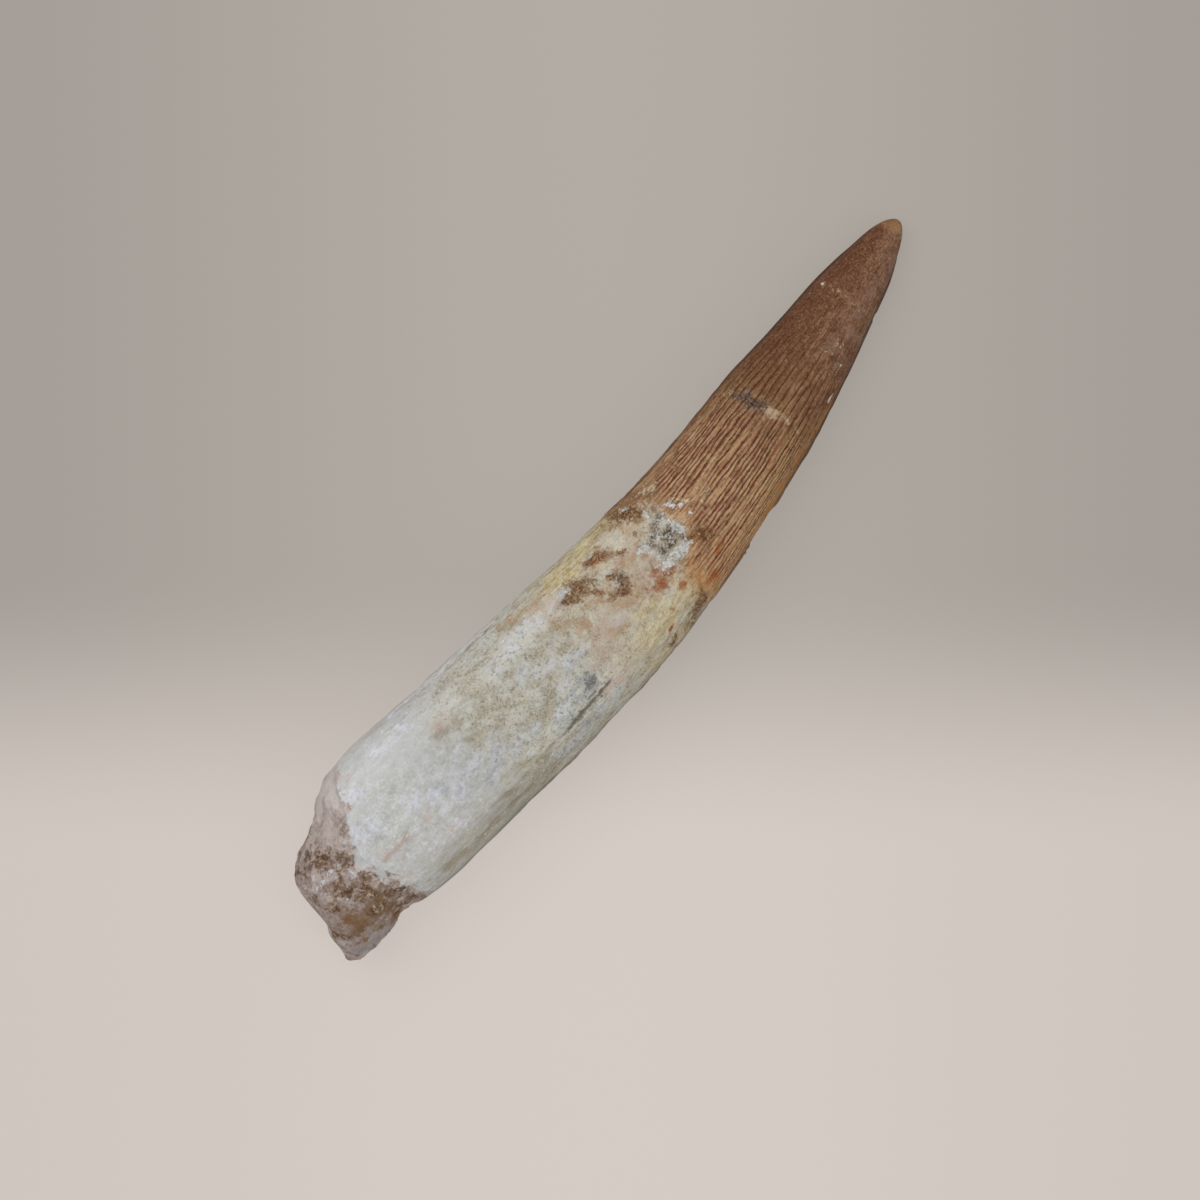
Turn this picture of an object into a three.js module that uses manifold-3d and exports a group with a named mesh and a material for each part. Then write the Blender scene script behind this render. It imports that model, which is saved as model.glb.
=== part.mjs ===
// A fossil tooth of a spinosaurid dinosaur, lying on its side. The tooth is one piece: a fluted crown
// of brown enamel on a long pale root. A lump of hard sediment, the matrix, is still cemented to the
// broken end of the root.
// Millimetres, +Z up. The tip points to +X and the hollow side of the bend faces +Y. The origin is on
// the surface that the fossil rests on, under the middle of its footprint.
import * as THREE from "three";
import { mergeVertices } from "three/addons/utils/BufferGeometryUtils.js";
import { ImprovedNoise } from "three/addons/math/ImprovedNoise.js";
import Module from "manifold-3d";

const wasm = await Module();
wasm.setup();
const noise = new ImprovedNoise();
const { smoothstep } = THREE.MathUtils;

// Driving dimensions. "Along" runs from the free end of the matrix to the tip, and "across" runs
// towards +Y from a line through both.
const LENGTH = 120.7;
const ORIGIN_ALONG = LENGTH / 2;
const ORIGIN_ACROSS = 1.64;
const ROOT_END = 11;
const CROWN_START = 66.5;
const MATRIX_LENGTH = 20;

// Edges of the tooth under its enamel: along, left and right edge across, top and bottom height. What
// lies below height 0 is worn off, which gives the narrow flats that it rests on.
const TOOTH_EDGES = [
  [LENGTH, -2.1, -2.1, 2.6, 2.6],
  [117, 0.2, -4.45, 4.7, 0.5],
  [114, 0.7, -5.45, 5.9, 0.2],
  [108, 1.75, -6.75, 7.8, 0.0],
  [99, 2.6, -8.6, 10.1, -0.1],
  [90, 3.65, -10.0, 12.0, -0.1],
  [81, 4.1, -10.8, 13.3, -0.1],
  [72, 4.95, -11.45, 14.4, -0.1],
  [66, 6.1, -11.7, 15.1, -0.25],
  [60, 7.2, -11.8, 15.7, -0.3],
  [48, 9.6, -10.8, 16.5, -0.35],
  [36, 12.1, -9.05, 16.9, -0.35],
  [24, 14.6, -7.15, 17.0, -0.25],
  [20, 15.0, -6.45, 16.8, 0.1],
  [16, 13.9, -5.6, 16.2, 0.8],
  [ROOT_END, 11.3, -4.2, 14.6, 2.2],
];
// Edges of the matrix: a nub, a shoulder, a broad lump against the root's end, and a tongue up the
// root's left side.
const MATRIX_EDGES = [
  [0, -1.2, -1.2, 6.3, 6.3],
  [0.7, -0.3, -2.2, 7.6, 5.0],
  [1.3, 1.9, -2.7, 8.9, 4.1],
  [2.4, 3.7, -2.9, 10.3, 3.3],
  [3.2, 7.2, -3.0, 11.8, 2.7],
  [4.1, 9.7, -3.1, 12.7, 2.3],
  [5.6, 11.2, -3.3, 13.6, 1.8],
  [9.4, 12.4, -3.2, 14.7, 1.4],
  [11.6, 12.9, -3.3, 15.2, 1.4],
  [13.4, 13.6, 2.5, 15.3, 2.6],
  [15.5, 14.7, 7.2, 14.7, 4.4],
  [17.6, 15.35, 11.2, 13.0, 6.0],
  [MATRIX_LENGTH, 15.1, 15.1, 9.2, 9.2],
];

// The crown's enamel, with flutes that fade out towards the tip and a keel down each edge.
const ENAMEL_THICKNESS = 0.25;
const ENAMEL_EDGE = { halfWidth: 0.8, waviness: 1.2, waveLength: 5 };
const FLUTES = 42;
const FLUTE_DEPTH = 0.25;
const FLUTES_FADE = { from: 98, to: 114 };
const KEEL_HEIGHT = 0.25;
const KEEL_FADE = { from: 2, to: 9 };

// Weathering of the root, and sediment crusts raised on the tooth: along, across, radius, height.
const ROOT_LUMPS = [
  { size: 6, height: 0.21 },
  { size: 2.3, height: 0.15 },
];
const CRUSTS = [
  [69.2, -1.8, 3.6, 0.45],
  [67.6, 3.6, 2.2, 0.4],
  [60.0, 0.6, 2.2, 0.35],
  [56.6, 3.4, 2.4, 0.4],
  [73.6, 1.2, 1.6, 0.3],
];
const CRUST_GRAIN = 1.3;
// A furrow, a crack, a pit and a dent: along and across of both ends, half width, depth.
const HOLLOWS = [
  [39.5, -4.5, 49.5, -7.2, 0.8, 0.5],
  [88.9, 1.6, 90.6, -6.6, 0.7, 0.2],
  [71.6, -6.2, 72.0, -6.3, 0.7, 0.45],
  [33.0, 2.0, 36.5, 0.5, 0.9, 0.3],
];
const MATRIX_LUMPS = [
  { size: 3.1, height: 0.3 },
  { size: 1.6, height: 0.35 },
];
const SEAM_GAP = 0.3;

// Interpolates a table of edges. The square root of the distance from the end makes a nose round.
function edgeCurve(table) {
  const end = table[0][0];
  const sign = Math.sign(end - table[1][0]);
  const root = (along) => Math.sqrt(Math.max(sign * (end - along), 0));
  const curve = new THREE.CubicInterpolant(
    table.map(([along]) => root(along)),
    table.flatMap(([, ...edges]) => edges),
    4,
  );
  return (along) => {
    const [left, right, top, bottom] = curve.evaluate(root(along));
    return { left, right, top, bottom };
  };
}

const toothEdges = edgeCurve(TOOTH_EDGES);
const matrixEdges = edgeCurve(MATRIX_EDGES);

// A point of an oval section. Angle 0 is the left edge and a quarter turn is the top.
function ovalPoint({ left, right, top, bottom }, along, angle, scale = 1) {
  const across = (left + right) / 2 + (scale * (left - right) * Math.cos(angle)) / 2;
  const height = (top + bottom) / 2 + (scale * (top - bottom) * Math.sin(angle)) / 2;
  return new THREE.Vector3(along, across, height);
}

// The point of the tooth's upper side at a place along and across.
function onTop(along, across) {
  const edges = toothEdges(along);
  const middle = (edges.left + edges.right) / 2;
  return ovalPoint(edges, along, Math.acos((2 * (across - middle)) / (edges.left - edges.right)));
}

const crusts = CRUSTS.map(([along, across, radius, height]) => {
  return { centre: onTop(along, across), radius, height };
});
const hollows = HOLLOWS.map(([along, across, endAlong, endAcross, halfWidth, depth]) => {
  return { line: new THREE.Line3(onTop(along, across), onTop(endAlong, endAcross)), halfWidth, depth };
});

// Lumps of a given size, from about -1 to 1.
function lumps(point, size) {
  return 1.4 * noise.noise(point.x / size, point.y / size, point.z / size);
}

function sumOfLumps(point, layers) {
  return layers.reduce((sum, { size, height }) => sum + height * lumps(point, size), 0);
}

// Enamel, flutes and keels. Flutes are the odd sectors, and the keels are sectors on the two edges.
function crownRelief(point, enamel, sector, sectors) {
  const fluted = 1 - smoothstep(point.x, FLUTES_FADE.from, FLUTES_FADE.to);
  const flute = sector % 2 ? fluted * FLUTE_DEPTH : 0;
  const onKeel = sector % (sectors / 2) === 0;
  const keel = onKeel ? KEEL_HEIGHT * smoothstep(LENGTH - point.x, KEEL_FADE.from, KEEL_FADE.to) : 0;
  return enamel * (ENAMEL_THICKNESS + keel - flute);
}

function crustRelief(point) {
  return crusts.reduce((sum, { centre, radius, height }) => {
    const share = 1 - smoothstep(point.distanceTo(centre), 0.5 * radius, 1.1 * radius);
    return sum + share * height * (0.8 + 0.5 * lumps(point, CRUST_GRAIN));
  }, 0);
}

function hollowRelief(point) {
  return hollows.reduce((sum, { line, halfWidth, depth }) => {
    const away = line.closestPointToPoint(point, true, new THREE.Vector3()).distanceTo(point);
    return sum - depth * (1 - smoothstep(away, 0.3 * halfWidth, 1.4 * halfWidth));
  }, 0);
}

// Height of the tooth's detail over a point of its plain form.
function toothRelief(point, sector, sectors) {
  const { halfWidth, waviness, waveLength } = ENAMEL_EDGE;
  const border = CROWN_START + waviness * lumps(point, waveLength);
  const enamel = smoothstep(point.x, border - halfWidth, border + halfWidth);
  const weathering = (1 - enamel) * sumOfLumps(point, ROOT_LUMPS);
  const crown = crownRelief(point, enamel, sector, sectors);
  return crown + weathering + crustRelief(point) + hollowRelief(point);
}

// A closed body made from a unit sphere: its poles are the body's two ends, and place() puts every
// vertex. Nothing reaches below the surface that the fossil rests on.
function loft(sectors, rings, place) {
  const geometry = new THREE.SphereGeometry(1, sectors, rings);
  geometry.deleteAttribute("normal");
  geometry.deleteAttribute("uv");
  const position = geometry.getAttribute("position");
  for (let i = 0; i < position.count; i++) {
    const ring = Math.floor(i / (sectors + 1));
    const sector = (i % (sectors + 1)) % sectors;
    const angle = 2 * Math.PI * (1 - sector / sectors);
    const point = place(ring, angle, sector);
    position.setXYZ(i, point.x - ORIGIN_ALONG, point.y - ORIGIN_ACROSS, Math.max(point.z, 0));
  }
  return mergeVertices(geometry);
}

function outwards(angle) {
  return new THREE.Vector3(0, Math.cos(angle), Math.sin(angle));
}

// Evenly spread places from one end of a span to just short of the other.
function span(from, to, count) {
  return Array.from({ length: count }, (_, i) => from + ((to - from) * i) / count);
}

// Rings of the tooth: along, and share of the full section, which closes the root's end. They crowd
// at the edge of the enamel, at the crack and at the tip.
const NOSE_FROM = 92.4;
const TOOTH_RINGS = [
  [ROOT_END, 0],
  [ROOT_END + 0.1, 0.5],
  [ROOT_END + 0.5, 0.82],
  [ROOT_END + 1.2, 0.95],
  ...[
    ...span(ROOT_END + 2.4, 54, 11),
    ...span(54, 74, 12),
    ...span(74, 88, 4),
    ...span(88, NOSE_FROM, 4),
    ...span(0, 1, 10).map((share) => LENGTH - (LENGTH - NOSE_FROM) * (1 - share) ** 2),
    LENGTH,
  ].map((along) => [along, 1]),
];

// The tooth, or with grow, the space that it needs with a gap all round.
function toothBody(grow = 0) {
  const sectors = 2 * FLUTES;
  return loft(sectors, TOOTH_RINGS.length - 1, (ring, angle, sector) => {
    const [along, scale] = TOOTH_RINGS[ring];
    const edges = toothEdges(along);
    const point = ovalPoint(edges, along, angle, scale);
    const slender = Math.min(1, (edges.left - edges.right) / 4);
    const atPole = ring === 0 || ring === TOOTH_RINGS.length - 1;
    const height = atPole ? 0 : scale * slender * toothRelief(point, sector, sectors) + grow;
    point.addScaledVector(outwards(angle), height);
    point.x -= scale < 1 ? grow : 0;
    return point;
  });
}

// Rings of the matrix, which crowd at its nub.
const MATRIX_RINGS = [
  ...span(0, 1, 5).map((share) => 1.5 * share ** 2),
  ...span(1.5, 4.5, 7),
  ...span(4.5, MATRIX_LENGTH, 13),
  MATRIX_LENGTH,
];

// The lump of matrix before the root's end is taken out of it.
function matrixBody() {
  return loft(36, MATRIX_RINGS.length - 1, (ring, angle) => {
    const along = MATRIX_RINGS[ring];
    const edges = matrixEdges(along);
    const point = ovalPoint(edges, along, angle);
    const slender = Math.min(1, (edges.left - edges.right) / 6);
    return point.addScaledVector(outwards(angle), slender * sumOfLumps(point, MATRIX_LUMPS));
  });
}

function solidOf(geometry) {
  const vertProperties = geometry.getAttribute("position").array;
  const triVerts = new Uint32Array(geometry.index.array);
  return new wasm.Manifold(new wasm.Mesh({ numProp: 3, vertProperties, triVerts }));
}

function geometryOf(solid) {
  const { vertProperties, triVerts } = solid.getMesh();
  return new THREE.BufferGeometry()
    .setAttribute("position", new THREE.BufferAttribute(vertProperties, 3))
    .setIndex(new THREE.BufferAttribute(triVerts, 1));
}

// The largest piece of a solid, which drops slivers that a cut leaves.
function largestPiece(solid) {
  return solid.decompose().reduce((best, piece) => (piece.volume() > best.volume() ? piece : best));
}

function namedMesh(name, geometry, color, roughness) {
  const material = new THREE.MeshStandardMaterial({ color, roughness, metalness: 0 });
  const mesh = new THREE.Mesh(geometry, material);
  mesh.name = name;
  return mesh;
}

const matrixSolid = largestPiece(solidOf(matrixBody()).subtract(solidOf(toothBody(SEAM_GAP))));
const fossil = new THREE.Group();
fossil.add(namedMesh("tooth", toothBody(), 0xb9ad92, 0.6));
fossil.add(namedMesh("matrix", geometryOf(matrixSolid), 0x8b7059, 0.9));

export default fossil;
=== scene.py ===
import math
import bmesh
import bpy
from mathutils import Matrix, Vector, noise


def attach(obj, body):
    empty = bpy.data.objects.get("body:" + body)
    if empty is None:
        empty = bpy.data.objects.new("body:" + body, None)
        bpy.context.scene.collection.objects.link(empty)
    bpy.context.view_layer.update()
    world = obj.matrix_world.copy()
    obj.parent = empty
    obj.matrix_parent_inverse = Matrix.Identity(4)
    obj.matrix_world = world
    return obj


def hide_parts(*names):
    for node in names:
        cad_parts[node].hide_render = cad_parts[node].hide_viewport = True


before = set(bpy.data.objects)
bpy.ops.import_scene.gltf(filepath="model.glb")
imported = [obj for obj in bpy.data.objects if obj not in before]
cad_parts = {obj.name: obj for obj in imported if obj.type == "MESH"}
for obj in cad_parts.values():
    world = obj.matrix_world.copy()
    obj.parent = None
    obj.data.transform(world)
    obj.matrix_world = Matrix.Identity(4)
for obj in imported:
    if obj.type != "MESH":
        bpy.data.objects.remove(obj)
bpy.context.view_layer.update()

# ----------------------------------------------------------------------
# The tooth. One piece of mineralised tooth: a crown of brown, fluted enamel with a keel down each
# edge, on a long root of weathered dentine with crusts of sediment on it. It is made as a fine
# closed form with all its relief, and stands for the plain solid of the same name.

MM = 0.001
LENGTH = 120.7
MIDDLE_ACROSS = 1.64
ORIGIN = Vector((LENGTH / 2, MIDDLE_ACROSS, 0))
ROOT_END = 11.0
CROWN_START = 66.5

# Edges of the tooth under its enamel, in millimetres: along, left and right edge across, top and
# bottom height. "Along" runs from the free end of the matrix to the tip.
TOOTH_EDGES = [
    (LENGTH, -2.1, -2.1, 2.6, 2.6),
    (117, 0.2, -4.45, 4.7, 0.5),
    (114, 0.7, -5.45, 5.9, 0.2),
    (108, 1.75, -6.75, 7.8, 0.0),
    (99, 2.6, -8.6, 10.1, -0.1),
    (90, 3.65, -10.0, 12.0, -0.1),
    (81, 4.1, -10.8, 13.3, -0.1),
    (72, 4.95, -11.45, 14.4, -0.1),
    (66, 6.1, -11.7, 15.1, -0.25),
    (60, 7.2, -11.8, 15.7, -0.3),
    (48, 9.6, -10.8, 16.5, -0.35),
    (36, 12.1, -9.05, 16.9, -0.35),
    (24, 14.6, -7.15, 17.0, -0.25),
    (20, 15.05, -6.45, 16.8, 0.1),
    (16, 14.3, -5.6, 16.2, 0.8),
    (ROOT_END, 11.9, -4.2, 14.6, 2.2),
]


def edge_curve(table):
    """A function that gives the edges at a place along: smooth, and round at the table's first end."""
    end = table[0][0]
    roots = [math.sqrt(abs(end - row[0])) for row in table]
    rows = [Vector(row[1:]) for row in table]
    count = len(rows)
    slopes = [(rows[i + 1] - rows[i]) / (roots[i + 1] - roots[i]) for i in range(count - 1)]
    tangents = [(slopes[max(i - 1, 0)] + slopes[min(i, count - 2)]) / 2 for i in range(count)]

    def edges(along):
        root = math.sqrt(abs(end - along))
        i = max(k for k in range(count - 1) if k == 0 or roots[k] <= root)
        width = roots[i + 1] - roots[i]
        t = (root - roots[i]) / width
        start, finish = rows[i], rows[i + 1]
        lead = t * (1 - t) ** 2 * width * tangents[i] - t * t * (1 - t) * width * tangents[i + 1]
        return start + (finish - start) * t * t * (3 - 2 * t) + lead

    return edges


def oval_point(edges, along, angle, scale=1.0):
    """A point of an oval section. Angle 0 is the left edge and a quarter turn is the top."""
    left, right, top, bottom = edges
    across = (left + right) / 2 + scale * (left - right) / 2 * math.cos(angle)
    height = (top + bottom) / 2 + scale * (top - bottom) / 2 * math.sin(angle)
    return Vector((along, across, height))


def ease(x, low, high):
    """Rises smoothly from 0 to 1 between two values."""
    t = max(0.0, min(1.0, (x - low) / (high - low)))
    return t * t * (3 - 2 * t)


def lumps(point, size):
    """Smooth noise of a given size, from about -1 to 1."""
    return noise.noise(point / size)


# Farther off than this, the exact distance makes no difference.
FAR = 9.0


def capped(distance):
    return max(-FAR, min(FAR, distance))


class Marks:
    """Patches of one kind on a form. Each runs between two places, given along and across, and has a
    half width: above on the side that faces up, below on the side that it lies on."""

    # Size of the tatters of the edges, in millimetres.
    GRAIN = 1.4

    def __init__(self, curve, above, below=(), ragged=0.9):
        self.ragged = ragged
        # Moves the noise of the edges, so that no two kinds of marks are ragged alike.
        self.shift = Vector((len(above), len(below), above[0][0]))
        self.patches = []
        for patches, side in ((above, 1), (below, -1)):
            for along, across, end_along, end_across, half_width in patches:
                start = self.on_form(curve, along, across, side)
                finish = self.on_form(curve, end_along, end_across, side)
                self.patches.append((start, finish - start, half_width))

    def on_form(self, curve, along, across, side):
        left, right, top, bottom = curve(along)
        turn = math.acos(max(-1.0, min(1.0, (2 * across - left - right) / (left - right))))
        return oval_point((left, right, top, bottom), along, side * turn)

    def close_to(self, along):
        """The patches that may reach a section at this place."""
        close = []
        for start, run, half_width in self.patches:
            low, high = sorted((start.x, start.x + run.x))
            if low - 3 * half_width < along < high + 3 * half_width:
                close.append((start, run, half_width))
        return close

    def strength(self, close, point):
        """1 in the middle of a patch, 0 at its edge and -1 away from all of them, with ragged edges."""
        nearest = FAR
        for start, run, half_width in close:
            away = point - start
            if run.length_squared > 0:
                away -= run * max(0.0, min(1.0, away.dot(run) / run.length_squared))
            nearest = min(nearest, away.length_squared / half_width ** 2)
        if nearest == FAR:
            return -1.0
        uneven = noise.fractal(point / self.GRAIN + self.shift, 0.6, 2.0, 3)
        return (1 - nearest) / (1 + nearest) + self.ragged * uneven


tooth_edges = edge_curve(TOOTH_EDGES)
MARKS = {
    # Brown crumbs of sediment.
    "crumbs": Marks(
        tooth_edges,
        [
            (55.6, 2.9, 57.6, 2.9, 1.0), (56.9, 4.0, 57.3, 3.6, 0.6), (58.3, 2.7, 58.9, 2.2, 0.6),
            (57.6, 1.3, 58.0, 0.9, 0.4), (60.1, 4.2, 61.6, 3.6, 0.65), (61.4, 3.2, 62.4, 2.8, 0.45),
            (63.8, 1.5, 64.4, 1.2, 0.24), (60.8, -1.1, 61.5, -0.9, 0.4), (59.0, -1.3, 60.3, -2.1, 0.6),
            (60.4, 0.9, 60.8, 0.2, 0.45), (58.0, 0.6, 58.3, 0.3, 0.3), (67.0, 4.8, 68.3, 4.2, 1.3),
            (68.5, 3.9, 69.0, 2.4, 1.0), (66.9, 1.5, 66.9, 1.4, 0.3), (63.2, -11.0, 65.2, -10.8, 1.0),
            (65.2, -10.5, 66.2, -9.8, 0.45), (61.0, -11.2, 61.7, -11.1, 0.35),
            (58.2, -10.9, 59.5, -10.7, 0.25), (72.1, -5.9, 72.4, -5.2, 0.95),
            (72.8, -6.8, 73.2, -6.6, 0.25), (70.0, -4.0, 71.2, -4.9, 0.3),
        ],
        [
            (57, -3, 59.5, -4, 1.2), (62, 2, 63, 1, 1.3), (67, -4, 69, -3, 1.3), (65, 4, 66, 4.4, 0.8),
            (49, 0, 51, -0.6, 0.9), (40, 5, 41, 4, 0.8), (72, 1, 72.6, 0.6, 0.6), (30, -2, 32, -3, 0.9),
        ],
    ),
    # Grey and brown crust.
    "crust": Marks(
        tooth_edges,
        [
            (67.1, -1.5, 67.3, -2.7, 0.9), (67.8, -0.7, 70.6, 0.2, 0.8), (69.2, -2.2, 70.4, -2.0, 1.0),
            (68.2, -3.2, 69.9, -3.3, 0.5), (66.1, -0.5, 66.3, -0.4, 0.5), (54.0, 3.6, 54.8, 3.2, 0.6),
            (60.8, -1.2, 61.6, -0.2, 0.7), (66.9, -1.0, 67.3, -1.6, 0.5),
        ],
        [(69, 0, 71, 1.6, 1.4), (60, -1, 61, -2, 0.9)],
    ),
    # Chalky white grains.
    "chalk": Marks(
        tooth_edges,
        [
            (66.1, -4.3, 67.4, -4.5, 0.8), (67.4, -4.5, 69.6, -4.5, 0.7), (70.9, -1.8, 71.0, -3.2, 0.45),
            (65.7, -0.5, 66.6, -0.9, 0.5), (69.8, 1.3, 70.1, 2.4, 0.22), (72.4, 0.2, 72.8, -0.4, 0.3),
            (73.5, -1.0, 73.7, -1.3, 0.13), (73.4, -2.7, 73.5, -2.9, 0.13), (54.6, 4.7, 55.0, 4.4, 0.6),
            (68.2, -1.4, 69.4, -1.3, 0.3), (66.3, -1.6, 66.4, -2.4, 0.4), (70.0, -0.6, 70.8, -1.2, 0.3),
            (66.8, -0.3, 67.4, -0.9, 0.35), (68.6, 4.2, 68.7, 4.1, 0.22), (67.2, 3.9, 67.3, 3.9, 0.2),
        ],
        [(66, 3, 68, 2, 0.9), (72, -2, 73, -1, 0.7), (62, -5, 64, -5.6, 0.8)],
    ),
    # Loose sandy specks.
    "sand": Marks(
        tooth_edges,
        [
            (70.4, 4.6, 73.4, 3.0, 0.9), (71.0, 2.4, 73.4, 2.8, 0.8), (75.2, -3.1, 77.6, -2.8, 0.4),
            (71.4, -4.2, 72.0, -4.4, 0.4), (57.6, 3.2, 57.9, 3.0, 0.4), (59.8, 3.2, 61.0, 4.6, 0.3),
            (73.2, 0.4, 74.4, -1.6, 0.5), (99.4, -6.4, 100.6, -7.0, 0.5), (101.0, -3.4, 101.4, -5.0, 0.4),
            (102.2, -4.8, 102.6, -5.6, 0.5),
        ],
        [(71, 3, 75, 1, 1.0), (68, -6, 70, -6, 0.8)],
    ),
    # Umber stains on the enamel.
    "umber": Marks(
        tooth_edges,
        [
            (69.4, 4.7, 72.8, 2.6, 1.2), (70.8, 1.4, 72.4, 1.2, 0.6), (70.4, -5.2, 71.8, -5.6, 0.7),
            (66.8, 5.5, 68.6, 5.3, 0.5),
        ],
        [(70, 3, 73, 1, 1.3), (68, -5, 70, -6, 1.0)],
    ),
    # Rust stains.
    "rust": Marks(
        tooth_edges,
        [
            (62.9, -5.1, 64.8, -4.8, 1.5), (65.2, -7.2, 65.4, -7.4, 0.5), (67.6, -9.9, 69.0, -10.0, 0.7),
            (71.4, -8.4, 72.2, -8.2, 0.5), (61.6, 3.3, 62.2, 2.7, 0.5), (57.9, 0.8, 58.4, 0.4, 0.35),
            (67.2, 4.7, 68.8, 3.0, 0.8), (60.4, 3.8, 61.4, 3.4, 0.5), (59.7, -9.7, 60.2, -9.6, 0.26),
            (61.8, -8.1, 62.0, -8.4, 0.24),
        ],
        [(60, 0, 64, -2, 1.5), (68, 1, 70, 3, 1.5), (66, -7, 68, -7, 1.2)],
    ),
    # Faint orange flushes.
    "blush": Marks(
        tooth_edges,
        [
            (61.6, 0.4, 65.8, -0.6, 0.9), (66.8, 3.0, 68.4, 2.0, 1.2), (67.4, -9.8, 70.0, -10.0, 1.2),
            (59.2, -3.0, 60.4, -3.5, 0.7), (48.0, 7.6, 51.6, 6.6, 1.2), (52.2, -1.6, 53.4, 0.0, 1.0),
            (55.0, -3.8, 56.4, -4.8, 0.9), (60.0, -9.6, 61.0, -9.3, 0.7), (56.0, 0.6, 58.8, 0.0, 0.8),
            (59.6, 5.4, 63.4, 5.0, 0.6), (58.6, -2.6, 61.4, -3.4, 0.9), (46.6, 8.4, 48.4, 8.0, 0.8),
            (66.6, -8.6, 68.4, -6.4, 1.0), (51.0, 2.4, 52.6, 1.8, 0.8), (36.0, -7.8, 37.0, -7.9, 0.4),
            (15.4, 10.8, 16.2, 10.2, 0.5),
        ],
        [(55, 4, 58, 5, 1.2), (50, -4, 54, -3, 1.4), (63, 3, 66, 4, 1.2)],
    ),
    # Yellow stains.
    "butter": Marks(
        tooth_edges,
        [
            (55.8, 6.5, 66.0, 5.3, 1.7), (57.5, -8.4, 66.2, -8.6, 1.7), (55, -10.9, 62, -11.2, 0.9),
            (59.4, -5.6, 62.0, -6.2, 0.9), (66.0, -9.5, 68.4, -7.6, 0.8), (70.8, -5.4, 71.6, -5.2, 0.9),
            (67.0, -11.6, 69.0, -11.2, 0.9),
        ],
        [(56, 6, 66, 5, 1.8), (58, -8, 66, -8, 2.2), (62, 0, 65, -3, 1.6)],
    ),
    # Thin bluish white film.
    "film": Marks(
        tooth_edges,
        [
            (17.4, 12.0, 18.4, 10.2, 1.0), (13.4, 8.0, 16.4, 6.2, 1.5), (12.2, 5.2, 12.6, 3.4, 0.7),
            (20.8, 4.0, 22.8, 3.8, 0.6), (24.0, 2.7, 25.0, 1.8, 0.9), (26.2, 0.2, 30.6, 0.8, 1.1),
            (31.6, -1.7, 34.6, -0.8, 1.0), (36.2, -2.4, 38.6, -3.0, 0.9), (26.0, 11.2, 28.6, 11.0, 0.8),
            (29.0, 13.3, 36.0, 11.8, 0.7), (36.0, 11.6, 44.0, 10.2, 0.9), (44.0, 10.1, 52.0, 8.7, 0.6),
            (42.4, 5.9, 46.0, 5.0, 1.2), (24.0, 11.6, 29.0, 10.8, 1.1), (44.6, 1.0, 48.0, 0.2, 0.7),
            (46.4, 5.9, 50.6, 4.6, 1.0), (43.4, 2.6, 45.4, 3.1, 0.8), (48.2, -1.1, 50.4, -2.2, 1.0),
            (41.8, -4.5, 44.8, -4.7, 0.7), (45.6, -3.0, 46.6, -3.0, 0.7), (55.8, -3.4, 57.4, -3.4, 1.0),
            (62.6, -6.7, 64.4, -6.8, 1.1), (38.6, -7.6, 42.4, -8.6, 0.9), (46.2, -8.4, 49.6, -8.8, 0.7),
            (19.0, -1.6, 24.0, -3.0, 0.9), (53.4, 5.0, 54.6, 4.4, 0.7), (59.0, 1.9, 60.4, 1.3, 0.7),
            (65.0, 3.2, 65.8, 3.0, 1.0),
        ],
        [
            (16, 8, 20, 6, 1.6), (26, 3, 30, 4, 1.4), (34, 0, 38, -2, 1.3), (44, 4, 48, 2, 1.5),
            (50, -4, 54, -4, 1.3), (30, -5, 34, -6, 1.0), (40, 8, 46, 7, 1.0),
        ],
    ),
    # Tan and olive places where the pale outer layer has gone.
    "bare": Marks(
        tooth_edges,
        [
            (35.4, 10.0, 38.8, 9.5, 0.7), (37.4, 7.6, 39.9, 7.9, 1.0), (41.4, 7.8, 43.0, 6.6, 0.8),
            (46.6, 8.1, 48.6, 7.2, 0.7), (37.0, 3.6, 38.6, 2.6, 1.0), (46.2, 2.9, 48.2, 2.2, 0.8),
            (40.2, -1.8, 41.8, -3.5, 1.1), (35.2, 0.4, 36.2, 0.9, 0.7), (36.0, 0.9, 37.4, 1.4, 0.8),
            (33.0, 3.0, 34.6, 2.2, 0.8), (33.8, -4.2, 34.8, -5.2, 0.7), (35.6, -6.0, 38.0, -6.6, 0.7),
            (43.6, 0.3, 45.6, -0.6, 0.8), (38.4, 5.6, 39.8, 5.0, 0.7), (42.2, 4.2, 43.0, 3.8, 0.5),
            (51.4, 2.9, 52.6, 1.5, 0.9), (44.4, -9.7, 46.6, -10.0, 0.5), (35.2, -8.2, 36.8, -8.3, 0.5),
            (30.6, 6.8, 32.2, 6.0, 0.6), (39.6, 1.2, 41.0, 0.4, 0.5), (48.6, 0.4, 50.2, -0.2, 0.7),
            (30.2, -5.2, 31.6, -6.0, 0.6), (17.5, -4.7, 21.0, -5.3, 0.6), (23.0, -5.8, 27.0, -6.4, 0.6),
            (28.6, -6.4, 32.6, -7.2, 0.6), (42.0, -2.6, 44.4, -2.2, 0.5), (49.0, 3.2, 50.2, 2.6, 0.5),
            (33.6, 6.0, 35.0, 4.6, 0.5),
        ],
        [
            (32, 4, 35, 2, 1.2), (38, -2, 41, 0, 1.4), (44, -3, 47, -5, 1.2), (36, 8, 39, 7, 1.0),
            (48, 5, 51, 4, 1.0), (26, -3, 28, -4, 1.0), (43, 1, 45, 1, 0.9), (53, 0, 55, 2, 1.2),
        ],
    ),
    # Bluish grey haze.
    "mist": Marks(
        tooth_edges,
        [
            (41.8, -5.2, 47.6, -5.0, 1.4), (36.6, -7.6, 41.6, -8.4, 0.9), (42.4, -8.2, 46.6, -8.6, 0.6),
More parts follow.
